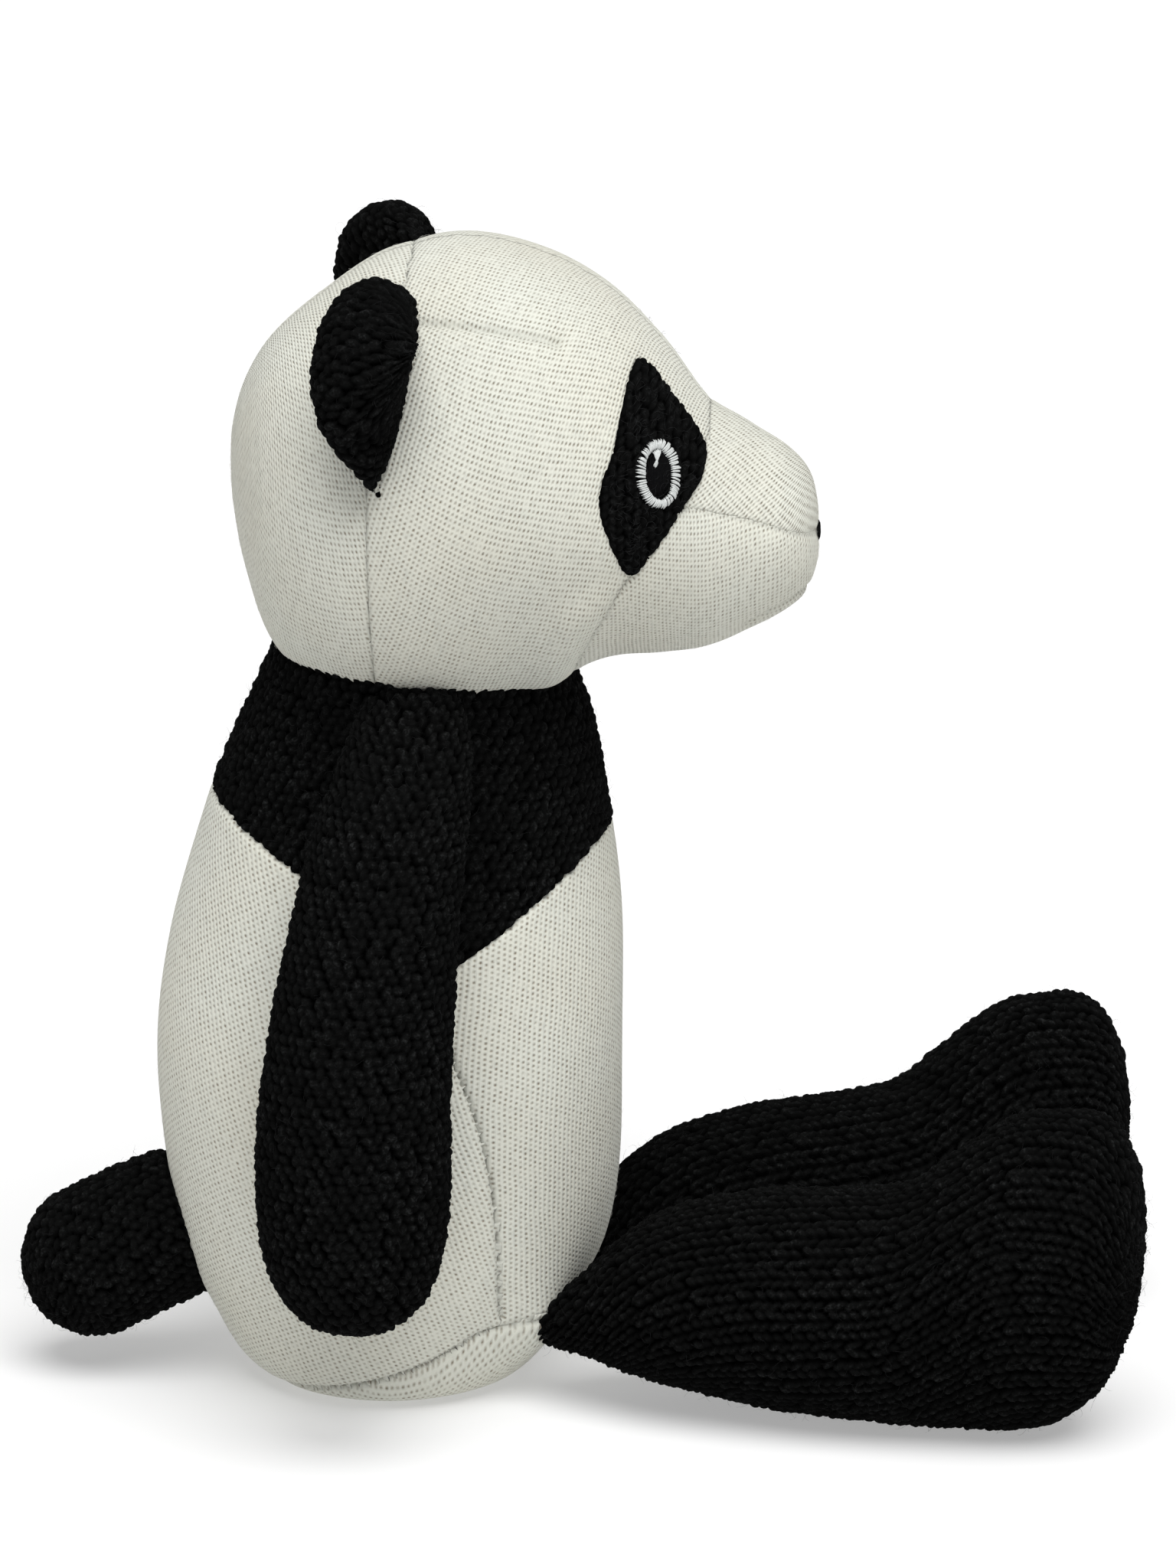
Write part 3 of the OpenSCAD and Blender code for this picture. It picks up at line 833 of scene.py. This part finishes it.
def make_yoke(materials):
    form = Form([r for r in TORSO_ROWS if r[0] > 75], "z", KNIT_PITCH, start=math.pi)
    y, z = form.points[..., 1], form.points[..., 2]
    deep = edge_depth(y, z, YOKE_OUTLINE)
    relief = moss(form.lengthwise, form.roundwise, 17)
    over = smooth(deep + 0.8 * (relief - 0.5), -0.9, 1.4)
    form.push(over * (2.5 + RELIEF * (relief - 0.55)) - 2.4 + lumps(form.points, 45, 17) * 0.4)
    form.measure_normals()
    _, mid_y, mid_z = form.centres().T
    wanted = edge_depth(mid_y, mid_z, YOKE_OUTLINE) > -2.2
    pair = np.stack([relief * over, form.lengthwise / STITCH], -1).reshape(-1, 2)
    piece = add_panel("yoke_knit", form.points.reshape(-1, 3), form.faces()[wanted], materials["yarn"],
                      JERSEY_THICK, knit=pair)
    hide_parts("yoke")
    keep = (deep > 1) & (z < NECK_Z)
    hairs = fuzz("yoke_fuzz", form, keep, 1500, 4.5, materials["strand"], 52, 0.03)
    for made in (piece, hairs):
        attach(made, "torso")


# ---- Head ----------------------------------------------------------------------------------------


def head_profile():
    u = np.linspace(0, len(HEAD_ROWS) - 1, 4000)
    return through(HEAD_ROWS, u)


PROFILE = head_profile()


def head_side(y, z):
    """Half width of the head at a place in its side view."""
    cz = np.interp(y, PROFILE[:, 0], PROFILE[:, 1])
    hz = np.interp(y, PROFILE[:, 0], PROFILE[:, 3])
    hw = np.interp(y, PROFILE[:, 0], PROFILE[:, 4])
    return hw * np.sqrt(np.clip(1 - ((z - cz) / hz) ** 2, 0.0004, 1))


def on_head(y, z, out, side):
    """Points on the head's skin, lifted out by some mm."""
    y, z = np.asarray(y, float), np.asarray(z, float)
    e = 0.2
    x = head_side(y, z)
    dy = (head_side(y + e, z) - head_side(y - e, z)) / (2 * e)
    dz = (head_side(y, z + e) - head_side(y, z - e)) / (2 * e)
    n = np.stack([np.ones_like(x), -dy, -dz], -1)
    n /= np.linalg.norm(n, axis=-1, keepdims=True)
    p = np.stack([x, y, z], -1) + n * np.asarray(out)[..., None]
    p[..., 0] *= side
    return p


def make_head(materials):
    form = Form(HEAD_ROWS, "y", JERSEY_PITCH, start=math.pi)
    coronal, bridge, muzzle_seam, chin_seam = (
        smooth_line(line, 2) for line in (CORONAL_SEAM, BRIDGE_SEAM, MUZZLE_SEAM, CHIN_SEAM)
    )
    snap(form, [coronal, bridge, chin_seam], 0.7)
    form.measure_normals()
    y, z = form.points[..., 1], form.points[..., 2]
    dip, close = seam_pull(form.points, [coronal, BRIDGE_SEAM[:-1], CHEEK_SEAM], 0.35, 0.7, 0.5, 5)
    mouth, mouth_close = seam_pull(form.points, [muzzle_seam], 0.4, 0.9, 0.3, 4)
    dip, close = np.maximum(dip, mouth), np.maximum(close, mouth_close)
    dart, dart_close = seam_pull(form.points, [smooth_line(DART), CHIN_DART], 1.1, 0.8, 0.4, 4)
    pucker = 0.9 * np.exp(-(((y - DART[-1][0]) ** 2 + (z - DART[-1][1]) ** 2) / 6))
    behind = y - reach(z, CHEEK_SEAM)
    cheek = np.exp(-(((behind - 6) / 6.5) ** 2)) * smooth(228 - z, 0, 14) * smooth(z, 186, 196)
    sunk = 0.9 * smooth(edge_depth(y, z, PATCH_EDGE), -0.4, 1.4)
    form.push(lumps(form.points, 55, 4) * 0.45 + 2.6 * cheek - np.maximum(dip, dart) - pucker - sunk)
    form.measure_normals()
    _, mid_y, mid_z = form.centres().T
    back = mid_y > reach(mid_z, coronal)
    muzzle = (mid_z > level(mid_y, muzzle_seam)) & (mid_y < reach(mid_z, bridge))
    chin = ~muzzle & (mid_z < CHIN_SEAM[0][1]) & (mid_y < reach(mid_z, chin_seam))
    front = ~(back | muzzle | chin)
    rings, turns = form.lengthwise, form.roundwise
    panels(form, [
        ("head_front_jersey", front, rings + 0.3 * turns, turns, "head_front_panel"),
        ("head_back_jersey", back, rings - 0.2 * turns, turns, "head_back_panel"),
        ("muzzle_jersey", muzzle, turns, rings, "muzzle_panel"),
        ("chin_jersey", chin, rings, turns, "chin_panel"),
    ], np.maximum(close, dart_close), materials["cream"], "head")
    keep = (edge_depth(y, z, PATCH_EDGE) < -2) & (z > NECK_Z)
    hairs = fuzz("head_fuzz", form, keep, 1700, 3.0, materials["pale_strand"], 61, 0.03, 0.35)
    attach(hairs, "head")


def make_patch(word, side, materials):
    """The inset eye patch: a close black knit that dives under the jersey at its edges."""
    pitch = 0.42
    ys, zs = np.arange(-38.5, -4.5, pitch), np.arange(223, 284, pitch)
    y, z = np.meshgrid(ys, zs, indexing="ij")
    deep = edge_depth(y, z, PATCH_EDGE)
    relief = beads(z, y, 2.2, 2.0, 23)
    over = smooth(deep + 0.5 * (relief - 0.5), -0.8, 1.0)
    points = on_head(y, z, over * (1.7 + 1.0 * (relief - 0.5)) - 1.1, side).reshape(-1, 3)
    row = len(zs)
    i, j = np.meshgrid(np.arange(len(ys) - 1), np.arange(row - 1), indexing="ij")
    k = i * row + j
    faces = np.stack([k, k + row, k + row + 1, k + 1], -1).reshape(-1, 4)
    if side < 0:
        faces = faces[:, ::-1]
    faces = faces[(deep > -1.2).reshape(-1)[faces].all(1)]
    pair = np.stack([relief * over, z / STITCH], -1).reshape(-1, 2)
    piece = add_panel("patch_knit_" + word, points, faces, materials["patch"], 0.8, knit=pair)
    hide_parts("eye_patch_" + word)
    rng = np.random.default_rng(70 + side)
    spots = np.argwhere(deep > 1)
    hairs = []
    for a, b in spots[rng.integers(0, len(spots), 260)]:
        turn, size, bend = rng.uniform(0, 6.28), rng.uniform(1.2, 3.2), rng.uniform(-0.4, 0.4)
        share = np.linspace(0, 1, 4)
        off = size * bend * np.sin(share * 3)
        hair_y = ys[a] + size * share * math.cos(turn) - off * math.sin(turn)
        hair_z = zs[b] + size * share * math.sin(turn) + off * math.cos(turn)
        hairs.append(on_head(hair_y, hair_z, 1.0 + 0.5 * np.sin(share * 2.6), side))
    threads = tubes("eye_patch_fuzz_" + word, hairs, 0.035, materials["strand"], 3)
    for made in (piece, threads):
        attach(made, "head")


def satin_stitch(start, end, side, base=0.9, crown=0.7):
    """One raised thread from place to place on the head's side."""
    share = np.linspace(0, 1, 6)
    y = start[0] + (end[0] - start[0]) * share
    z = start[1] + (end[1] - start[1]) * share
    return on_head(y, z, base + crown * np.sin(np.pi * share) ** 0.6, side)


def make_eye(word, side, materials):
    """The satin stitched ring, its glint and the dark stitches inside it."""
    rng = np.random.default_rng(5)
    c, s = math.cos(EYE_TILT), math.sin(EYE_TILT)

    def placed(angle, inset):
        out_y = (EYE_WIDTH / 2 - inset) * math.cos(angle)
        out_z = (EYE_HEIGHT / 2 - inset) * math.sin(angle)
        return EYE[0] + c * out_y - s * out_z, EYE[1] + s * out_y + c * out_z

    stitches = []
    for angle in np.linspace(0, 2 * math.pi, 76, endpoint=False):
        angle += rng.normal(0, 0.014)
        skew = 0.1 + rng.normal(0, 0.03)
        inner = placed(angle, SATIN + rng.uniform(-0.1, 0.2))
        stitches.append(satin_stitch(inner, placed(angle + skew, rng.uniform(-0.15, 0.3)), side))
    ring = tubes("ring_stitches_" + word, stitches, 0.27, materials["pale"], 6)
    glint = []
    for share in np.linspace(-0.5, 0.5, 6):
        top = (EYE[0] + 0.6 + share * 2.2, EYE[1] + EYE_HEIGHT / 2 - SATIN + 0.3 - abs(share))
        end = (EYE[0] + 0.9 - share * 1.2, EYE[1] + 1.4 + 1.8 * abs(share) ** 1.5)
        glint.append(satin_stitch(top, end, side))
    spark = tubes("glint_stitches_" + word, glint, 0.25, materials["pale"], 6)
    dark = []
    for share in np.linspace(-0.9, 0.9, 15):
        half = math.sqrt(1 - share**2) * (EYE_HEIGHT / 2 - SATIN)
        across = EYE[0] + share * (EYE_WIDTH / 2 - SATIN)
        dark.append(satin_stitch((across, EYE[1] - half), (across, EYE[1] + half), side, 0.75, 0.3))
    pupil = tubes("eye_pupil_" + word, dark, 0.3, materials["dark"], 5)
    for piece, slot in ((ring, "pale_thread"), (spark, "pale_thread"), (pupil, "dark_thread")):
        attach(piece, "head")
    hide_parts("eye_ring_" + word)
    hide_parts("eye_glint_" + word)


def muzzle_y(x, z):
    """How far forward the muzzle's skin is at a place in the front view."""
    inside_ring = (x / PROFILE[:, 4]) ** 2 + ((z - PROFILE[:, 1]) / PROFILE[:, 3]) ** 2 < 1
    first = np.argmax(inside_ring & (PROFILE[:, 0] > -70))
    return PROFILE[first, 0]


def make_nose(materials):
    """Upright satin stitches in a small rounded triangle on the muzzle's tip."""
    stitches = []
    for x in np.linspace(-5.5, 5.5, 27):
        top = NOSE_TOP - 0.05 * x * x
        low = top - 4.5 * (1 - abs(x) / 5.8) ** 0.7 - 0.8
        path = []
        for share in np.linspace(0, 1, 6):
            z = top + (low - top) * share
            path.append((x, muzzle_y(x, z) + 0.25 - 0.3 * math.sin(math.pi * share) ** 0.6, z))
        stitches.append(path)
    nose = tubes("nose_stitches", stitches, 0.3, materials["dark"], 6)
    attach(nose, "head")
    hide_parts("nose")


# ---- Build ---------------------------------------------------------------------------------------


def paint_fillings(material):
    """The fillings stay as the frame has them, inside the covers."""
    for name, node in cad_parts.items():
        if "filling" in name:
            for holder in node.material_slots:
                holder.material = material


def main():
    materials = {
        # the cream jersey's second colour is painted shade in its holes
        "cream": jersey_material("cream_jersey", (0.66, 0.67, 0.60), (0.20, 0.155, 0.10)),
        # black yarns: painted shade between the stitches, the stitch face, then a painted highlight on
        # the stitch heads
        "yarn": yarn_material("black_yarn", 0.0002, 0.0042, 0.028),
        "patch": yarn_material("patch_yarn", 0.0002, 0.0042, 0.024),
        "strand": fibre_material("dark_strand", (0.02, 0.021, 0.022), (0.006, 0.006, 0.006), 0.0),
        "pale_strand": fibre_material("pale_strand", (0.8, 0.8, 0.74), (0.6, 0.59, 0.52)),
        "pale": thread_material("pale_thread", (0.6, 0.62, 0.61), (0.36, 0.38, 0.37), 0.45),
        "dark": thread_material(
            "dark_thread", (0.003, 0.003, 0.0032), (0.006, 0.006, 0.0065), 0.9, 0.0, 0.03
        ),
        "stuffing": fibre_material("stuffing", (0.85, 0.85, 0.83), (0.6, 0.6, 0.58)),
    }
    make_camera()
    make_studio()
    make_torso(materials)
    make_yoke(materials)
    make_head(materials)
    make_nose(materials)
    make_tail(materials)
    for word, side in SIDES.items():
        make_patch(word, side, materials)
        make_eye(word, side, materials)
        make_ear(word, side, materials)
        make_arm(word, side, materials)
        make_leg(word, side, materials)
    paint_fillings(materials["stuffing"])


main()
